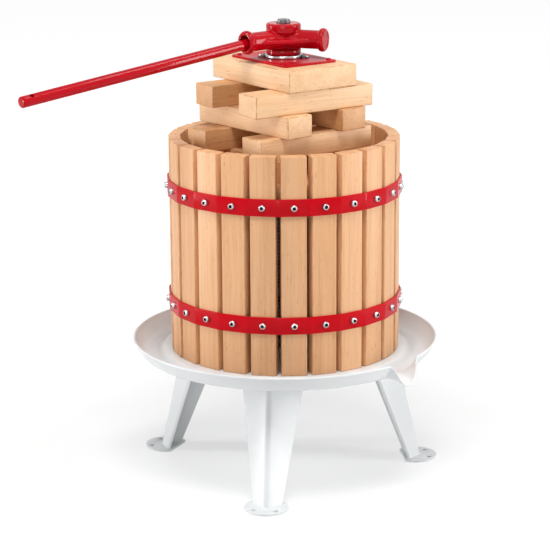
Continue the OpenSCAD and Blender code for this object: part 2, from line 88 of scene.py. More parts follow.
# Tray
TRAY_SHEET = 2 * MM
TRAY_FLOOR_Z = STAVE_LOW
TRAY_HOLE_R = 9.3 * MM
TRAY_FLOOR_R = 159 * MM
GUTTER_IN_R = 172 * MM
GUTTER_OUT_R = 181 * MM
GUTTER_DROP = 7 * MM
TRAY_RIM_R = 201 * MM
TRAY_WALL_H = 19.5 * MM
RIM_BEAD_R = 1.7 * MM
SPOUT_HALF = math.radians(8.5)
SPOUT_FALL = 9 * MM
SPOUT_REACH = 8 * MM
SPOUT_TURN = math.radians(-90)
# A power above 1 makes the spout's tip fuller
SPOUT_ROUND = 1.7

# Legs
LEG_TURNS = [math.radians(turn) for turn in (-147.5, -42.5, 107.5)]
LEG_STUD_R = 114 * MM
LEG_STUD_SIDE = 17 * MM
LEG_EDGE = 0.6 * MM

# Press stack
BEAM_SIZE = Vector((180, 40, 28)) * MM
BEAM_SPACING = 100 * MM
STACK_TURN = math.radians(-13.5)
# Beams: layer, side, skew in degrees, and slips as shares of the beam's length and width
BEAMS = (
    (0, -1, 0, 0, 0), (0, 1, 0, 0, 0),
    (1, -1, 2, -0.04, -0.21), (1, 1, 2, -0.11, -0.21),
    (2, -1, 4, -0.01, 0.25), (2, 1, 4, 0, -0.025),
    (3, -1, -1.5, -0.045, -0.31), (3, 1, -1.5, -0.045, -0.31),
)
# How pale each beam is, from 0 to 1
BEAM_TONES = (0.5, 0.4, 0.75, 0.15, 0.1, 0.85, 0.9, 0.05)
BLOCK_SIZE = Vector((106, 170, 28)) * MM
BLOCK_TONE = 1
SPINDLE_HOLE_R = 12 * MM
PRESS_PLATE_EDGE = 0.8 * MM

# Spindle; the thread's form is in shares of its pitch and of its depth
SPINDLE_R = 9 * MM
SPINDLE_CHAMFER = 1.5 * MM
THREAD_PITCH = 5 * MM
THREAD_DEPTH = 1.3 * MM
THREAD_FORM = ((0.0, 1), (0.34, 1), (0.47, 0), (0.87, 0))
THREAD_ABOVE_COLLAR = 2 * MM
THREAD_RUNOUT = 0.5 * MM
COLLAR_R = 22 * MM
COLLAR_H = 6 * MM
COLLAR_EDGE = 0.6 * MM
COLLAR_SHOULDER_IN = 1.5 * MM
COLLAR_SHOULDER_UP = 1 * MM

# Nuts and rings
NUT_GAP = 0.05 * MM
NUT_COUNTERSINK = 0.8 * MM
NUT_FACE_INSET = 0.1 * MM
NUT_SLOPE = 0.5
SPINDLE_NUT_FLATS = 27 * MM
SPINDLE_NUT_CHAMFER = 1.6 * MM
LEG_NUT_FLATS = 10 * MM
LEG_NUT_BORE_R = 3 * MM + NUT_GAP
LEG_NUT_CHAMFER = 0.8 * MM
THRUST_RING_EDGE = 1.1 * MM
WASHER_EDGE = 0.5 * MM

# Thrust plate, its screws and the lever
THRUST_PLATE_EDGE = 0.7 * MM
PLATE_SCREW_EDGE = 0.3 * MM
LEVER_EDGE = 0.4 * MM
LEVER_ROLL = math.radians(-30)

# Screw head: the cup under the hub's upper collar, with heights above the casting's underside
HEAD_VOXEL = 0.7 * MM
HEAD_SOFTENINGS = 8
HUB_BORE_GAP = 0.3 * MM
HUB_BORE_R = SPINDLE_R + HUB_BORE_GAP
CUP_LOW = 19 * MM
CUP_MID = 29.5 * MM
CUP_HIGH = 35 * MM
CUP_LOW_R = 17 * MM
CUP_HIGH_R = 22.3 * MM

# Web between the two arms: its front edge's ends as (reach, direction), and its height and roundness
WEB_ENDS = ((59 * MM, math.radians(170.5)), (52 * MM, math.radians(290.5)))
WEB_MID_Z = 18.25 * MM
WEB_EDGE_R = 3.8 * MM

# Camera and image
CAMERA_PLACE = Vector((-2.07743, -1.77179, 0.97733))
CAMERA_HEADING = math.radians(40.727)
CAMERA_PITCH = math.radians(14.702)
CAMERA_ROLL = math.radians(-0.339)
FOCAL_PIXELS = 2135.2
IMAGE_PIXELS = 550
SENSOR = 36
CLIP_END = 100

# Floor: its glow runs between two strengths over two distances from the axis
FLOOR_HALF = 12
FLOOR_BOUNCE = 0.82
FLOOR_SHADE = 0.42
GLOW_NEAR, GLOW_NEAR_AT = 0.58, 0.35
GLOW_FAR, GLOW_FAR_AT = 0.93, 1.6
WORLD_FILL = 0.06

# Lamps: name, degrees in plan from the camera, distance, height, width, length and power in watts
LAMPS = (
    ("left_box", -87, 2.2, 0.7, 0.18, 1.6, 32),
    ("right_box", 80, 2.2, 0.65, 0.5, 1.6, 33),
    ("top_box", -4, 1.15, 2.75, 1.5, 0.9, 58),
    ("front_box", -6, 2.8, 0.45, 1.0, 0.5, 12),
    ("rim_box", 114, 0.9, 2.5, 0.3, 1.1, 8),
)
LAMP_AIM_HEIGHT = 0.32


# Mesh helpers

def polar(radius, turn, height=0.0):
    """A point at a distance and direction from the axis."""
    return Vector((radius * math.cos(turn), radius * math.sin(turn), height))


def middle_height(node):
    low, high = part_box(node)
    return (low.z + high.z) / 2


def rounded_outline(low, high, radius, steps):
    """Outline of a rectangle between two opposite corners, with all its corners rounded."""
    left, right = low[0] + radius, high[0] - radius
    bottom, top = low[1] + radius, high[1] - radius
    points = []
    for quarter, (x, y) in enumerate(((right, top), (left, top), (left, bottom), (right, bottom))):
        for k in range(steps + 1):
            turn = math.pi / 2 * (quarter + k / steps)
            points.append((x + radius * math.cos(turn), y + radius * math.sin(turn)))
    return points


def mesh_from(name, verts, faces):
    mesh = bpy.data.meshes.new(name)
    mesh.from_pydata([tuple(v) for v in verts], [], faces)
    mesh.validate()
    return mesh


def mesh_from_bmesh(name, bm):
    mesh = bpy.data.meshes.new(name)
    bm.to_mesh(mesh)
    bm.free()
    return mesh


def shade(mesh, sharp_degrees):
    """Smooth shading, with edges sharper than the angle kept crisp."""
    mesh.shade_smooth()
    mesh.set_sharp_from_angle(angle=math.radians(sharp_degrees))
    return mesh


def ring_faces(rows, columns, closed_rows=False):
    """Quads of rings whose vertex in row i and column j has index i * columns + j."""
    faces = []
    for i in range(rows if closed_rows else rows - 1):
        for j in range(columns):
            a = i * columns
            b = (i + 1) % rows * columns
            k = (j + 1) % columns
            faces.append((a + j, a + k, b + k, b + j))
    return faces


def lathe(name, profile, steps=96):
    """A closed profile of (radius, height) turned about Z."""
    turns = [math.tau * j / steps for j in range(steps)]
    verts = [polar(radius, turn, height) for radius, height in profile for turn in turns]
    return mesh_from(name, verts, ring_faces(len(profile), steps, closed_rows=True))


def rounded_bar(name, size, radius):
    """A bar with its middle at the origin and all its edges rounded."""
    bm = bmesh.new()
    bmesh.ops.create_cube(bm, size=1)
    bmesh.ops.scale(bm, vec=size, verts=bm.verts)
    bmesh.ops.bevel(bm, geom=bm.edges[:], offset=radius, segments=4, profile=0.5, affect="EDGES")
    return shade(mesh_from_bmesh(name, bm), 60)


def cad_copy(node, bevel=0.0, segments=2, bevel_degrees=28):
    """A clean copy of a CAD node's mesh about the axis: flat faces joined up, and edges rounded."""
    bm = bmesh.new()
    bm.from_mesh(NODES[node].data)
    bmesh.ops.translate(bm, vec=-AXIS, verts=bm.verts)
    bmesh.ops.remove_doubles(bm, verts=bm.verts, dist=WELD)
    bmesh.ops.dissolve_limit(
        bm, angle_limit=math.radians(0.5), verts=bm.verts, edges=bm.edges, delimit=set())
    if bevel:
        limit = math.radians(bevel_degrees)
        edges = [e for e in bm.edges if len(e.link_faces) == 2 and e.calc_face_angle(0) > limit]
        bmesh.ops.bevel(
            bm, geom=edges, offset=bevel, segments=segments, profile=0.5, affect="EDGES",
            clamp_overlap=True)
    return mesh_from_bmesh(node + "_form", bm)


def apply_modifiers(obj):
    """Replaces the object's mesh by its mesh after modifiers, and removes them."""
    bpy.context.view_layer.update()
    evaluated = obj.evaluated_get(bpy.context.evaluated_depsgraph_get())
    result = bpy.data.meshes.new_from_object(evaluated)
    obj.modifiers.clear()
    obj.data = result
    return obj


def loose_object(name, mesh, place=Matrix()):
    obj = bpy.data.objects.new(name, mesh)
    bpy.context.scene.collection.objects.link(obj)
    obj.matrix_world = place
    return obj


def add_piece(name, mesh, material, body, nodes=(), place=Matrix()):
    """A piece of the object that moves with a body and stands for CAD nodes."""
    obj = loose_object(name, mesh, FROM_AXIS @ place)
    mesh.materials.clear()
    mesh.materials.append(material)
    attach(obj, body)
    if nodes:
        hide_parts(*nodes)
    return obj


# Material helpers

def empty_material(name):
    material = bpy.data.materials.new(name)
    material.use_nodes = True
    tree = material.node_tree
    tree.nodes.clear()
    output = tree.nodes.new("ShaderNodeOutputMaterial")
    return material, tree, output


def node_material(name):
    material, tree, output = empty_material(name)
    shader = tree.nodes.new("ShaderNodeBsdfPrincipled")
    tree.links.new(shader.outputs["BSDF"], output.inputs["Surface"])
    return material, tree, shader


def add_node(tree, kind, **values):
    """A node with its settings and the values of its unlinked inputs."""
    node = tree.nodes.new(kind)
    for key, value in values.items():
        if key in node.inputs:
            node.inputs[key].default_value = value
        else:
            setattr(node, key, value)
    return node


def noise_of(tree, coordinates, scale, detail=3.0, rough=0.55, stretch=(1, 1, 1)):
    """A noise value over coordinates in metres, stretched by the inverse of the given factors."""
    mapping = add_node(tree, "ShaderNodeMapping", Scale=stretch)
    texture = add_node(tree, "ShaderNodeTexNoise", Scale=scale, Detail=detail, Roughness=rough)
    tree.links.new(coordinates, mapping.inputs["Vector"])
    tree.links.new(mapping.outputs["Vector"], texture.inputs["Vector"])
    return texture.outputs["Fac"]


def ramp_of(tree, value, stops):
    """A colour ramp over a value; stops are (position, colour)."""
    ramp = tree.nodes.new("ShaderNodeValToRGB")
    elements = ramp.color_ramp.elements
    while len(elements) < len(stops):
        elements.new(0.5)
    for element, (position, colour) in zip(elements, stops):
        element.position = position
        element.color = (*colour, 1)
    tree.links.new(value, ramp.inputs["Fac"])
    return ramp.outputs["Color"]


def range_of(tree, value, low_in, high_in, low, high):
    """A value mapped from one range to another."""
    node = add_node(tree, "ShaderNodeMapRange")
    for key, number in (("From Min", low_in), ("From Max", high_in), ("To Min", low), ("To Max", high)):
        node.inputs[key].default_value = number
    tree.links.new(value, node.inputs["Value"])
    return node.outputs["Result"]


def multiply_colours(tree, one, other):
    mix = add_node(tree, "ShaderNodeMix", data_type="RGBA", blend_type="MULTIPLY")
    mix.inputs["Factor"].default_value = 1.0
    tree.links.new(one, mix.inputs["A"])
    tree.links.new(other, mix.inputs["B"])
    return next(o for o in mix.outputs if o.type == "RGBA")


def product_of(tree, one, other):
    node = add_node(tree, "ShaderNodeMath", operation="MULTIPLY")
    tree.links.new(one, node.inputs[0])
    tree.links.new(other, node.inputs[1])
    return node.outputs[0]


def bump_from(tree, shader, height, strength, distance):
    bump = add_node(tree, "ShaderNodeBump", Strength=strength, Distance=distance)
    tree.links.new(height, bump.inputs["Height"])
    tree.links.new(bump.outputs["Normal"], shader.inputs["Normal"])


# Materials

def make_beech(name, stops, tone_tint, fleck_tint, edge_shade_tint):
    """Beech: growth rings, streaks, fine fibres and short dark flecks along each piece's own grain, and
    painted shade in broken lines along the rounded edges.
    """
    material, tree, shader = node_material(name)
    grain = add_node(tree, "ShaderNodeAttribute", attribute_name="grain").outputs["Vector"]
    tone = add_node(tree, "ShaderNodeAttribute", attribute_name="tone").outputs["Fac"]
    edge = add_node(tree, "ShaderNodeAttribute", attribute_name="edge").outputs["Fac"]
    bands = noise_of(tree, grain, scale=60, detail=2, stretch=(1, 1, 0.05))
    streaks = noise_of(tree, grain, scale=260, detail=3, rough=0.6, stretch=(1, 1, 0.012))
    fibres = noise_of(tree, grain, scale=900, detail=4, rough=0.65, stretch=(1, 1, 0.018))
    flecks = noise_of(tree, grain, scale=640, detail=1, rough=0.4, stretch=(1, 1, 0.16))
    edge_shade_breaks = noise_of(tree, grain, scale=110, detail=2, stretch=(1, 1, 0.3))
    colour = ramp_of(tree, bands, stops)
    tints = (
        (streaks, ((0.34, (0.94, 0.915, 0.88)), (0.52, (1.0, 1.0, 1.0)))),
        (fibres, ((0.32, (0.84, 0.79, 0.72)), (0.48, (0.97, 0.96, 0.94)), (0.66, (1.0, 1.0, 1.0)))),
        (flecks, ((0.24, fleck_tint), (0.31, (1.0, 1.0, 1.0)))),
        (tone, ((0.0, tone_tint), (1.0, (1.0, 1.0, 1.0)))),
        # Painted shade: the rounded edges are darkened in broken lines, standing in for the thin shadow
        # lines along the wood's edges
        (product_of(tree, edge, range_of(tree, edge_shade_breaks, 0.42, 0.60, 0.0, 1.0)),
         ((0.0, (1.0, 1.0, 1.0)), (1.0, edge_shade_tint))),
    )
    for value, tint in tints:
        colour = multiply_colours(tree, colour, ramp_of(tree, value, tint))
    tree.links.new(colour, shader.inputs["Base Color"])
    tree.links.new(range_of(tree, fibres, 0.3, 0.7, 0.56, 0.42), shader.inputs["Roughness"])
    shader.inputs["Specular IOR Level"].default_value = 0.5
    bump_from(tree, shader, fibres, strength=0.3, distance=0.2 * MM)
    return material


def make_paint(name, colour, dark, roughness, specular):
    """Gloss paint over metal, with a faint orange-peel surface and slightly uneven gloss."""
    material, tree, shader = node_material(name)
    place = add_node(tree, "ShaderNodeTexCoord").outputs["Object"]
    clouds = noise_of(tree, place, scale=14, detail=3)
    peel = noise_of(tree, place, scale=520, detail=2)
    tint = ramp_of(tree, clouds, ((0.30, dark), (0.65, colour)))
    tree.links.new(tint, shader.inputs["Base Color"])
    gloss = range_of(tree, clouds, 0.3, 0.7, roughness * 0.85, roughness * 1.2)
    tree.links.new(gloss, shader.inputs["Roughness"])
    shader.inputs["Specular IOR Level"].default_value = specular
    bump_from(tree, shader, peel, strength=0.025, distance=0.3 * MM)
    return material


def make_steel(name, dark, bright, smooth, rough):
    """Steel with fine turned marks and uneven gloss, between two greys and two roughnesses."""
    material, tree, shader = node_material(name)
    place = add_node(tree, "ShaderNodeTexCoord").outputs["Object"]
    scratches = noise_of(tree, place, scale=1400, detail=3, stretch=(1, 1, 0.12))
    clouds = noise_of(tree, place, scale=120, detail=2)
    blue = 1.02
    stops = ((0.30, (dark, dark, dark * blue)), (0.70, (bright, bright, bright * blue)))
    tint = ramp_of(tree, clouds, stops)
    tree.links.new(tint, shader.inputs["Base Color"])
    tree.links.new(range_of(tree, scratches, 0.3, 0.7, smooth, rough), shader.inputs["Roughness"])
    shader.inputs["Metallic"].default_value = 1
    bump_from(tree, shader, scratches, strength=0.05, distance=0.2 * MM)
    return material


BEECH = make_beech(
    "beech",
    stops=((0.30, (0.720, 0.392, 0.196)), (0.52, (0.780, 0.444, 0.234)), (0.74, (0.815, 0.490, 0.276))),
    tone_tint=(0.89, 0.84, 0.78), fleck_tint=(0.80, 0.70, 0.60), edge_shade_tint=(0.86, 0.76, 0.64))
PALE_BEECH = make_beech(
    "pale_beech",
    stops=((0.30, (0.765, 0.466, 0.246)), (0.52, (0.815, 0.526, 0.297)), (0.74, (0.840, 0.576, 0.352))),
    tone_tint=(0.76, 0.61, 0.46), fleck_tint=(0.70, 0.57, 0.44), edge_shade_tint=(0.72, 0.56, 0.42))
RED = make_paint(
    "red_paint", colour=(0.530, 0.001, 0.008), dark=(0.495, 0.001, 0.006), roughness=0.20, specular=0.10)
GLOSS_RED = make_paint(
    "gloss_red_paint", colour=(0.455, 0.001, 0.008), dark=(0.415, 0.001, 0.007),
    roughness=0.10, specular=0.16)
PLATE_RED = make_paint(
    "plate_red_paint", colour=(0.490, 0.001, 0.009), dark=(0.450, 0.001, 0.008),
    roughness=0.32, specular=0.12)
WHITE = make_paint(
    "white_enamel", colour=(0.725, 0.742, 0.750), dark=(0.708, 0.725, 0.733),
    roughness=0.32, specular=0.4)
STEEL = make_steel("steel", dark=0.42, bright=0.60, smooth=0.20, rough=0.36)
DARK_STEEL = make_steel("dark_steel", dark=0.08, bright=0.19, smooth=0.28, rough=0.45)
# Near-black steel for the inside of the screws' hex sockets: painted shade standing in for the shadow in
# the socket
SOCKET_SHADE = make_steel("socket_painted_shade", dark=0.010, bright=0.030, smooth=0.50, rough=0.65)


# Wooden pieces

def mark_grain(mesh, along, seed, matrix=Matrix(), tone=None):
    """Stores each point's place in the wood, with the grain along the third axis, and its tone."""
    draw = random.Random(seed)
    offset = Vector((draw.uniform(0.3, 3), draw.uniform(0.3, 3), draw.uniform(0, 3)))
    others = [axis for axis in range(3) if axis != along]
    order = (others[0], others[1], along)
    places = [matrix @ vertex.co for vertex in mesh.vertices]
    grain = [place[axis] + offset[k] for place in places for k, axis in enumerate(order)]
    mesh.attributes.new("grain", "FLOAT_VECTOR", "POINT").data.foreach_set("vector", grain)
    tones = [draw.random() if tone is None else tone] * len(places)
    mesh.attributes.new("tone", "FLOAT", "POINT").data.foreach_set("value", tones)
    return mesh


def mark_edges(mesh, size):
    """Marks the points of a bar on its rounded edges, which are those on none of its six faces; the
    wood's painted edge shade follows this mark.
    """
    half = size / 2 - Vector((1, 1, 1)) * WELD
    edge = [float(all(abs(v.co[k]) < half[k] for k in range(3))) for v in mesh.vertices]
    mesh.attributes.new("edge", "FLOAT", "POINT").data.foreach_set("value", edge)
    return mesh


def add_staves():
    centre = Vector((BASKET_R - STAVE_SIZE.x / 2, 0, STAVE_LOW + STAVE_SIZE.z / 2))
    for i in range(STAVE_COUNT):
        node = "stave_%02d" % (i + 1)
        mesh = rounded_bar(node + "_form", STAVE_SIZE, WOOD_ROUND)
        mark_edges(mark_grain(mesh, 2, node), STAVE_SIZE)
        place = Matrix.Rotation(i * STAVE_STEP, 4, "Z") @ Matrix.Translation(centre)
        add_piece(node + "_wood", mesh, BEECH, "stand", [node], place)


def add_beams():
    for i, (layer, side, skew, along, across) in enumerate(BEAMS):
        node = "beam_%d" % (i + 1)
        turn = STACK_TURN + math.radians(skew) + (math.pi / 2 if layer % 2 == 0 else 0)
        middle = Vector((along * BEAM_SIZE.x, side * BEAM_SPACING / 2 + across * BEAM_SIZE.y, 0))
        mesh = rounded_bar(node + "_form", BEAM_SIZE, WOOD_ROUND)
        mark_edges(mark_grain(mesh, 0, node, tone=BEAM_TONES[i]), BEAM_SIZE)
        place = (Matrix.Translation((0, 0, middle_height(node)))
                 @ Matrix.Rotation(turn, 4, "Z") @ Matrix.Translation(middle))
        add_piece(node + "_wood", mesh, PALE_BEECH, "press", [node], place)


def add_top_block():
    place = Matrix.Translation((0, 0, middle_height("top_block"))) @ Matrix.Rotation(STACK_TURN, 4, "Z")
    obj = loose_object("block_blank", rounded_bar("block_blank", BLOCK_SIZE, WOOD_ROUND))
    reach = 0.1
    hole = lathe(
        "block_drill", [(0, -reach), (SPINDLE_HOLE_R, -reach), (SPINDLE_HOLE_R, reach), (0, reach)], 48)
    drill = loose_object("block_drill", hole)
    cut = obj.modifiers.new("hole", "BOOLEAN")
    cut.object = drill
    cut.solver = "EXACT"
    apply_modifiers(obj)
    mesh = shade(obj.data, 50)
    bpy.data.objects.remove(obj)
    bpy.data.objects.remove(drill)
    mark_edges(mark_grain(mesh, 1, "top_block", tone=BLOCK_TONE), BLOCK_SIZE)
    add_piece("top_block_wood", mesh, PALE_BEECH, "press", ["top_block"], place)


def add_press_plates():
    unturn = Matrix.Rotation(-STACK_TURN, 4, "Z")
    for node in ("press_plate_1", "press_plate_2"):
        mesh = shade(cad_copy(node, PRESS_PLATE_EDGE), 40)
        mark_grain(mesh, 0, node, unturn)
        add_piece(node + "_wood", mesh, BEECH, "press", [node])


# Hoops and screws

def add_hoop(node):
    """A flat strip bent at each gap between staves, with rounded edges."""
    middle_z = middle_height(node)
    profile = rounded_outline((0, -HOOP_H / 2), (HOOP_T, HOOP_H / 2), HOOP_EDGE, 3)
    centre_r = (HOOP_FACE_R - HOOP_BEND_R) / math.cos(STAVE_STEP / 2)
    bend_steps = 6
    stations = []
    for i in range(STAVE_COUNT):
        vertex_turn = (i + 0.5) * STAVE_STEP
        centre = polar(centre_r, vertex_turn, middle_z)
        for k in range(bend_steps + 1):
            turn = vertex_turn + STAVE_STEP * (k / bend_steps - 0.5)
            stations.append((centre, polar(1, turn)))
    verts = [centre + normal * (HOOP_BEND_R + offset) + Vector((0, 0, height))
             for centre, normal in stations for offset, height in profile]
    faces = ring_faces(len(stations), len(profile), closed_rows=True)
    mesh = shade(mesh_from(node + "_form", verts, faces), 45)
    add_piece(node + "_strip", mesh, RED, "stand", [node])


def screw_head_rings(steps):
    """Rings of (radius by direction, height) from the under-face to the bottom of the hex socket."""
    def circle(radius):
        return [radius] * steps

    def hexagon(half):
        turns = [math.tau * j / steps for j in range(steps)]
        return [half / math.cos(turn % (math.pi / 3) - math.pi / 6) for turn in turns]

    foot = [(circle(SCREW_FOOT_R), 0), (circle(SCREW_HEAD_R), SCREW_FOOT_H)]
    dome = []
    dome_steps = 6
    for k in range(dome_steps + 1):
        turn = math.pi / 2 * k / dome_steps
        radius = SCREW_TOP_R + (SCREW_HEAD_R - SCREW_TOP_R) * math.cos(turn)
        dome.append((circle(radius), SCREW_RIM_H + (SCREW_HEAD_H - SCREW_RIM_H) * math.sin(turn)))
    socket = [
        (hexagon(SOCKET_MOUTH_HALF), SCREW_HEAD_H),
        (hexagon(SOCKET_HALF), SCREW_HEAD_H - SOCKET_MOUTH_DEPTH),
        (hexagon(SOCKET_HALF), SCREW_HEAD_H - SOCKET_DEPTH),
        (circle(SOCKET_POINT_R), SCREW_HEAD_H - SOCKET_POINT_DEPTH),
    ]
    return foot + dome + socket


def add_hoop_screws(node):
    middle_z = middle_height(node)
    steps = 36
    rings = screw_head_rings(steps)
    face_r = HOOP_FACE_R + HOOP_T
    draw = random.Random(node)
    verts = []
    faces = []
    for i in range(STAVE_COUNT):
        base = len(verts)
        spin = draw.uniform(0, math.tau)
        place = (Matrix.Rotation(i * STAVE_STEP, 4, "Z") @ Matrix.Translation((face_r, 0, middle_z))
                 @ Matrix.Rotation(math.pi / 2, 4, "Y") @ Matrix.Rotation(spin, 4, "Z"))
        for radii, height in rings:
            verts += [place @ polar(radii[j], math.tau * j / steps, height) for j in range(steps)]
        faces += [[base + v for v in face] for face in ring_faces(len(rings), steps)]
        last = base + (len(rings) - 1) * steps
        faces.append([base + j for j in reversed(range(steps))])
        faces.append([last + j for j in range(steps)])
    mesh = shade(mesh_from(node + "_form", verts, faces), 35)
    add_piece(node + "_heads", mesh, STEEL, "stand", [node])
    # The socket's inner faces take the near-black material, which is painted shade for the shadow inside
    # the socket
    mesh.materials.append(SOCKET_SHADE)
    socket_bands = 3
    outer_bands = len(rings) - 1 - socket_bands
    in_socket = [0] * outer_bands * steps + [1] * socket_bands * steps + [0, 1]
    mesh.polygons.foreach_set("material_index", in_socket * STAVE_COUNT)


# Tray

def spout_bell(angle):
    """How far the wall is drawn into the spout, from 0 beside it to 1 in its middle."""
    if abs(angle) >= SPOUT_HALF:
        return 0.0
    bell = (1 + math.cos(math.pi * angle / SPOUT_HALF)) / 2
    return 1 - (1 - bell) ** SPOUT_ROUND


def tray_line(bell):
    """Upper side of the sheet from the spindle hole to the rim, as (radius, height)."""
    ramp_steps = 10
    wall_steps = 18
    gutter_z = TRAY_FLOOR_Z - GUTTER_DROP
    points = [Vector((TRAY_HOLE_R, TRAY_FLOOR_Z))]
    for i in range(ramp_steps + 1):
        q = i / ramp_steps
        points.append(Vector((TRAY_FLOOR_R + (GUTTER_IN_R - TRAY_FLOOR_R) * q,
                              TRAY_FLOOR_Z - GUTTER_DROP * (1 - math.cos(math.pi * q)) / 2)))
    wall_run = TRAY_RIM_R - RIM_BEAD_R - GUTTER_OUT_R
    lip = 1 + SPOUT_FALL / TRAY_WALL_H
    for i in range(wall_steps + 1):
        s = i / wall_steps
        points.append(Vector((GUTTER_OUT_R + wall_run * s + SPOUT_REACH * s * s * bell,
                              gutter_z + TRAY_WALL_H * s * s * (1 - lip * bell))))
    return points


def tray_section(bell):
    """Closed outline of the sheet and its rolled rim, as (radius, height)."""
    bead_steps = 10
    upper = tray_line(bell)
    last = len(upper) - 1

    def normal(i):
        along = upper[min(i + 1, last)] - upper[max(i - 1, 0)]
        return Vector((along.y, -along.x)).normalized()

    under = [p + TRAY_SHEET * (Vector((0, -1)) if i < 2 else normal(i)) for i, p in enumerate(upper)]
    out = normal(last)
    along = Vector((-out.y, out.x))
    middle = upper[last] + out * TRAY_SHEET / 2
    bead = []
    for k in range(bead_steps + 1):
        turn = math.pi * k / bead_steps
        bead.append(middle + RIM_BEAD_R * (math.sin(turn) * along - math.cos(turn) * out))
    return upper[:last] + bead + under[last - 1::-1]


def add_tray():
    spout_steps = 60
    ring_steps = 220
    angles = [SPOUT_HALF * (2 * i / spout_steps - 1) for i in range(spout_steps + 1)]
    rest = math.tau - 2 * SPOUT_HALF
    angles += [SPOUT_HALF + rest * i / ring_steps for i in range(1, ring_steps)]
    verts = []
    for angle in angles:
        section = tray_section(spout_bell(angle))
        turn = SPOUT_TURN + angle
        verts += [polar(p.x, turn, p.y) for p in section]
    faces = ring_faces(len(angles), len(section), closed_rows=True)
    mesh = shade(mesh_from("tray_form", verts, [face[::-1] for face in faces]), 50)
    add_piece("tray_enamel", mesh, WHITE, "stand", ["tray"])


# Steel screw and small steel pieces

def add_spindle():
    """A trapezoidal thread over a collar; the lower end is plain where the nut holds it."""
    low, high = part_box("spindle")
    steps = 48
    start = TRAY_FLOOR_Z + COLLAR_H + THREAD_ABOVE_COLLAR
    turns = math.ceil((high.z - start) / THREAD_PITCH) + 1
    rows = []
    for k in range(-1, turns):
        for share, depth in THREAD_FORM:
            row = []
            for j in range(steps + 1):
                height = start + (k + share + j / steps) * THREAD_PITCH
                height = min(max(height, start), high.z)
                cone = SPINDLE_R - SPINDLE_CHAMFER + (high.z - height)
                radius = min(SPINDLE_R - depth * THREAD_DEPTH, cone)
                row.append(polar(radius, math.tau * j / steps, height))
            rows.append(row)
    bm = bmesh.new()
    grid = [[bm.verts.new(p) for p in row] for row in rows]
    for upper, lower in zip(grid[1:], grid[:-1]):
        for j in range(steps):
            bm.faces.new((lower[j], lower[j + 1], upper[j + 1], upper[j]))
    bmesh.ops.remove_doubles(bm, verts=bm.verts, dist=FINE_WELD)
    bmesh.ops.dissolve_degenerate(bm, edges=bm.edges, dist=FINE_WELD)
    bmesh.ops.holes_fill(bm, edges=[e for e in bm.edges if e.is_boundary])
    bmesh.ops.recalc_face_normals(bm, faces=bm.faces)
    thread = mesh_from_bmesh("spindle_thread_form", bm)
    root = SPINDLE_R - THREAD_DEPTH
    shoulder_z = TRAY_FLOOR_Z + COLLAR_H / 2
    core = lathe("spindle_core_form", [
        (0, low.z), (SPINDLE_R - SPINDLE_CHAMFER, low.z), (SPINDLE_R, low.z + SPINDLE_CHAMFER),
        (SPINDLE_R, TRAY_FLOOR_Z), (COLLAR_R - COLLAR_EDGE, TRAY_FLOOR_Z),
        (COLLAR_R, TRAY_FLOOR_Z + COLLAR_EDGE), (COLLAR_R, shoulder_z),
        (COLLAR_R - COLLAR_SHOULDER_IN, shoulder_z + COLLAR_SHOULDER_UP),
        (SPINDLE_R, TRAY_FLOOR_Z + COLLAR_H), (SPINDLE_R, start),
        (root, start + THREAD_RUNOUT), (0, start + THREAD_RUNOUT),
    ], 64)
    add_piece("spindle_thread", shade(thread, 40), DARK_STEEL, "stand", ["spindle"])
    add_piece("spindle_foot", shade(core, 35), DARK_STEEL, "stand")


def hex_nut(name, flats, height, bore_r, low_z, chamfer):
    """A hexagon nut with rounded-off corners at both faces and a countersunk bore."""
    steps = 72
    turns = [math.tau * j / steps for j in range(steps)]
    corner = flats / 2 / math.cos(math.pi / 6)
    verts = []
    for level in (0, chamfer * 0.5, chamfer, height - chamfer, height - chamfer * 0.5, height):
        edge = min(level, height - level)
        limit = flats / 2 - NUT_FACE_INSET + edge / NUT_SLOPE if edge < chamfer else corner
        for turn in turns:
            flat_r = flats / 2 / math.cos(turn % (math.pi / 3) - math.pi / 6)
            verts.append(polar(min(flat_r, limit), turn, low_z + level))
    wide_r = bore_r + NUT_COUNTERSINK
    bore = ((height, wide_r), (height - NUT_COUNTERSINK, bore_r), (NUT_COUNTERSINK, bore_r), (0, wide_r))
    for level, radius in bore:
        verts += [polar(radius, turn, low_z + level) for turn in turns]
    return mesh_from(name, verts, ring_faces(len(verts) // steps, steps, closed_rows=True))


def add_nuts():
    low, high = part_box("spindle_nut")
    nut = hex_nut("spindle_nut_form", SPINDLE_NUT_FLATS, high.z - low.z, SPINDLE_R + NUT_GAP, low.z,
                  SPINDLE_NUT_CHAMFER)
    add_piece("spindle_nut_steel", shade(nut, 30), STEEL, "stand", ["spindle_nut"])
    low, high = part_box("leg_nuts")
    one = hex_nut("leg_nut_one", LEG_NUT_FLATS, high.z - low.z, LEG_NUT_BORE_R, low.z, LEG_NUT_CHAMFER)
    bm = bmesh.new()
    for turn in LEG_TURNS:
        for side in (-LEG_STUD_SIDE, LEG_STUD_SIDE):
            copy = one.copy()
            copy.transform(Matrix.Rotation(turn, 4, "Z") @ Matrix.Translation((LEG_STUD_R, side, 0)))
            bm.from_mesh(copy)
            bpy.data.meshes.remove(copy)
    bpy.data.meshes.remove(one)
    mesh = shade(mesh_from_bmesh("leg_nuts_form", bm), 30)
    add_piece("leg_nuts_steel", mesh, STEEL, "stand", ["leg_nuts"])


def turned_ring(node, bore_r, edge_r):
    """A flat ring about the axis in a node's place, with all four edges rounded."""
    low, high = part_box(node)
    profile = rounded_outline((bore_r, low.z), ((high.x - low.x) / 2, high.z), edge_r, 4)
    return shade(lathe(node + "_form", profile), 40)


def add_rings():
    mesh = turned_ring("thrust_ring", SPINDLE_HOLE_R, THRUST_RING_EDGE)
    add_piece("thrust_ring_steel", mesh, STEEL, "press", ["thrust_ring"])
    mesh = turned_ring("spindle_washer", TRAY_HOLE_R, WASHER_EDGE)
    add_piece("spindle_washer_steel", mesh, STEEL, "stand", ["spindle_washer"])


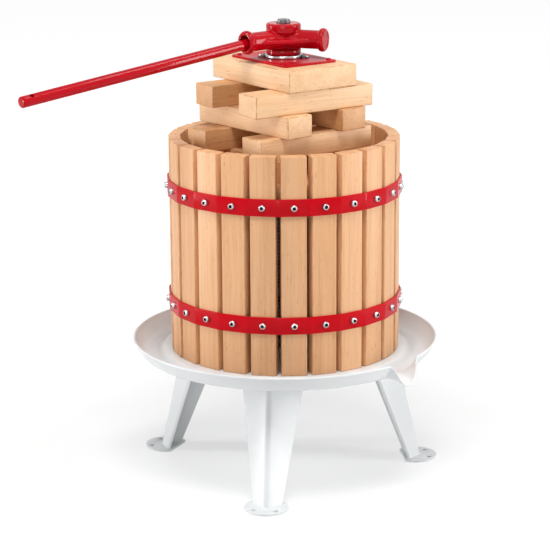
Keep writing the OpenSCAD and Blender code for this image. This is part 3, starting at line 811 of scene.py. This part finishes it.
def add_small_steel():
    rows = (
        ("leg_studs", "stand", 0.5, STEEL),
        ("ring_clips", "press", 0.3, DARK_STEEL),
        ("clip_screws", "press", 0.2, STEEL),
    )
    for node, body, bevel, material in rows:
        mesh = shade(cad_copy(node, bevel * MM, 3), 40)
        add_piece(node + "_steel", mesh, material, body, [node])


# White legs

def add_legs():
    for node in ("leg_1", "leg_2", "leg_3"):
        mesh = shade(cad_copy(node, LEG_EDGE, 2, 30), 32)
        add_piece(node + "_enamel", mesh, WHITE, "stand", [node])


# Red iron

def add_thrust_plate():
    mesh = shade(cad_copy("thrust_plate", THRUST_PLATE_EDGE, 3), 40)
    add_piece("thrust_plate_paint", mesh, PLATE_RED, "press", ["thrust_plate"])
    heads = shade(cad_copy("plate_screws", PLATE_SCREW_EDGE, 3), 40)
    add_piece("plate_screws_paint", heads, PLATE_RED, "press", ["plate_screws"])


def hub_filler(base_z):
    """A cone that fills the hub out under its upper collar."""
    return lathe("hub_filler", [
        (HUB_BORE_R, base_z + CUP_LOW), (CUP_LOW_R, base_z + CUP_LOW), (CUP_HIGH_R, base_z + CUP_MID),
        (CUP_HIGH_R, base_z + CUP_HIGH), (HUB_BORE_R, base_z + CUP_HIGH),
    ])


def web_edge(base_z):
    """A round edge along the front of the web between the two arms."""
    first, last = [polar(reach, turn, base_z + WEB_MID_Z) for reach, turn in WEB_ENDS]
    along = last - first
    half = along.length / 2
    mesh = lathe("web_edge", [(0, -half), (WEB_EDGE_R, -half), (WEB_EDGE_R, half), (0, half)], 32)
    facing = along.to_track_quat("Z", "Y").to_matrix().to_4x4()
    mesh.transform(Matrix.Translation((first + last) / 2) @ facing)
    return mesh


def add_head():
    """The casting in one skin, with soft fillets where arms, web and hub meet."""
    base_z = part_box("head_casting")[0].z
    bm = bmesh.new()
    for mesh in (cad_copy("head_casting"), hub_filler(base_z), web_edge(base_z)):
        bm.from_mesh(mesh)
        bpy.data.meshes.remove(mesh)
    obj = loose_object("head_blank", mesh_from_bmesh("head_blank", bm))
    union = obj.modifiers.new("union", "REMESH")
    union.mode = "VOXEL"
    union.voxel_size = HEAD_VOXEL
    soften = obj.modifiers.new("soften", "SMOOTH")
    soften.factor = 0.5
    soften.iterations = HEAD_SOFTENINGS
    apply_modifiers(obj)
    mesh = obj.data
    mesh.name = "head_casting_form"
    bpy.data.objects.remove(obj)
    mesh.shade_smooth()
    add_piece("head_casting_paint", mesh, GLOSS_RED, "head", ["head_casting"])


def rolled(mesh, roll):
    """The mesh of a long bar that points towards -X, rolled about its own axis."""
    points = np.array([vertex.co for vertex in mesh.vertices])
    middle = points.mean(axis=0)
    along = np.linalg.svd(points - middle, full_matrices=False)[2][0]
    along = Vector(along if along[0] < 0 else -along)
    middle = Vector(middle)
    turn = Matrix.Rotation(roll, 4, along)
    mesh.transform(Matrix.Translation(middle) @ turn @ Matrix.Translation(-middle))
    return mesh


def add_lever():
    mesh = shade(rolled(cad_copy("lever", LEVER_EDGE, 2), LEVER_ROLL), 40)
    add_piece("lever_paint", mesh, GLOSS_RED, "head", ["lever"])


# Stage

def seen_rays(tree):
    """1 for camera, glossy and transmission rays."""
    path = tree.nodes.new("ShaderNodeLightPath")
    total = path.outputs["Is Camera Ray"]
    for name in ("Is Glossy Ray", "Is Transmission Ray"):
        larger = add_node(tree, "ShaderNodeMath", operation="MAXIMUM")
        tree.links.new(total, larger.inputs[0])
        tree.links.new(path.outputs[name], larger.inputs[1])
        total = larger.outputs[0]
    return total


def add_floor():
    """A pale floor that is white to the camera and keeps the object's shadow."""
    material, tree, output = empty_material("floor")
    bounce = add_node(tree, "ShaderNodeBsdfDiffuse", Color=(FLOOR_BOUNCE, FLOOR_BOUNCE, FLOOR_BOUNCE, 1))
    shadow = add_node(tree, "ShaderNodeBsdfDiffuse", Color=(FLOOR_SHADE, FLOOR_SHADE, FLOOR_SHADE, 1))
    place = add_node(tree, "ShaderNodeTexCoord").outputs["Object"]
    length = add_node(tree, "ShaderNodeVectorMath", operation="LENGTH")
    tree.links.new(place, length.inputs[0])
    glow = add_node(tree, "ShaderNodeEmission", Color=(1, 1, 1, 1))
    strength = range_of(
        tree, length.outputs["Value"], GLOW_NEAR_AT, GLOW_FAR_AT, GLOW_NEAR, GLOW_FAR)
    tree.links.new(strength, glow.inputs["Strength"])
    both = tree.nodes.new("ShaderNodeAddShader")
    tree.links.new(shadow.outputs[0], both.inputs[0])
    tree.links.new(glow.outputs[0], both.inputs[1])
    choice = tree.nodes.new("ShaderNodeMixShader")
    tree.links.new(seen_rays(tree), choice.inputs["Fac"])
    tree.links.new(bounce.outputs[0], choice.inputs[1])
    tree.links.new(both.outputs[0], choice.inputs[2])
    tree.links.new(choice.outputs[0], output.inputs["Surface"])
    corners = [(x * FLOOR_HALF, y * FLOOR_HALF, 0) for x, y in ((-1, -1), (1, -1), (1, 1), (-1, 1))]
    mesh = mesh_from("floor", corners, [(0, 1, 2, 3)])
    mesh.materials.append(material)
    loose_object("floor", mesh, FROM_AXIS)


def add_world():
    """White to the camera and in reflections, and a weak fill for all other light."""
    world = bpy.data.worlds.new("studio")
    bpy.context.scene.world = world
    world.use_nodes = True
    tree = world.node_tree
    tree.nodes.clear()
    output = tree.nodes.new("ShaderNodeOutputWorld")
    fill = add_node(tree, "ShaderNodeBackground", Color=(1, 1, 1, 1), Strength=WORLD_FILL)
    white = add_node(tree, "ShaderNodeBackground", Color=(1, 1, 1, 1), Strength=1.0)
    choice = tree.nodes.new("ShaderNodeMixShader")
    tree.links.new(seen_rays(tree), choice.inputs["Fac"])
    tree.links.new(fill.outputs[0], choice.inputs[1])
    tree.links.new(white.outputs[0], choice.inputs[2])
    tree.links.new(choice.outputs[0], output.inputs["Surface"])


def add_softbox(name, turn, distance, height, width, length, power):
    """An area lamp at a plan direction from the axis, aimed at the basket."""
    data = bpy.data.lights.new(name, "AREA")
    data.shape = "RECTANGLE"
    data.size = width
    data.size_y = length
    data.energy = power
    lamp = bpy.data.objects.new(name, data)
    bpy.context.scene.collection.objects.link(lamp)
    lamp.location = AXIS + polar(distance, turn, height)
    aim = AXIS + Vector((0, 0, LAMP_AIM_HEIGHT)) - lamp.location
    lamp.rotation_euler = aim.to_track_quat("-Z", "Y").to_euler()


def add_lights():
    camera_turn = math.atan2(CAMERA_PLACE.y, CAMERA_PLACE.x)
    for name, degrees, *sizes in LAMPS:
        add_softbox(name, camera_turn + math.radians(degrees), *sizes)


def add_camera():
    data = bpy.data.cameras.new("camera")
    data.sensor_fit = "HORIZONTAL"
    data.sensor_width = SENSOR
    data.lens = FOCAL_PIXELS / IMAGE_PIXELS * SENSOR
    data.clip_end = CLIP_END
    camera = bpy.data.objects.new("camera", data)
    bpy.context.scene.collection.objects.link(camera)
    camera.matrix_world = (FROM_AXIS @ Matrix.Translation(CAMERA_PLACE)
                           @ Matrix.Rotation(CAMERA_HEADING - math.pi / 2, 4, "Z")
                           @ Matrix.Rotation(math.pi / 2 - CAMERA_PITCH, 4, "X")
                           @ Matrix.Rotation(CAMERA_ROLL, 4, "Z"))
    bpy.context.scene.camera = camera


add_camera()
add_staves()
add_hoop("upper_hoop")
add_hoop("lower_hoop")
add_hoop_screws("upper_hoop_screws")
add_hoop_screws("lower_hoop_screws")
add_tray()
add_legs()
add_spindle()
add_nuts()
add_rings()
add_small_steel()
add_press_plates()
add_beams()
add_top_block()
add_thrust_plate()
add_head()
add_lever()
add_floor()
add_world()
add_lights()

bpy.context.scene.view_settings.view_transform = "Standard"
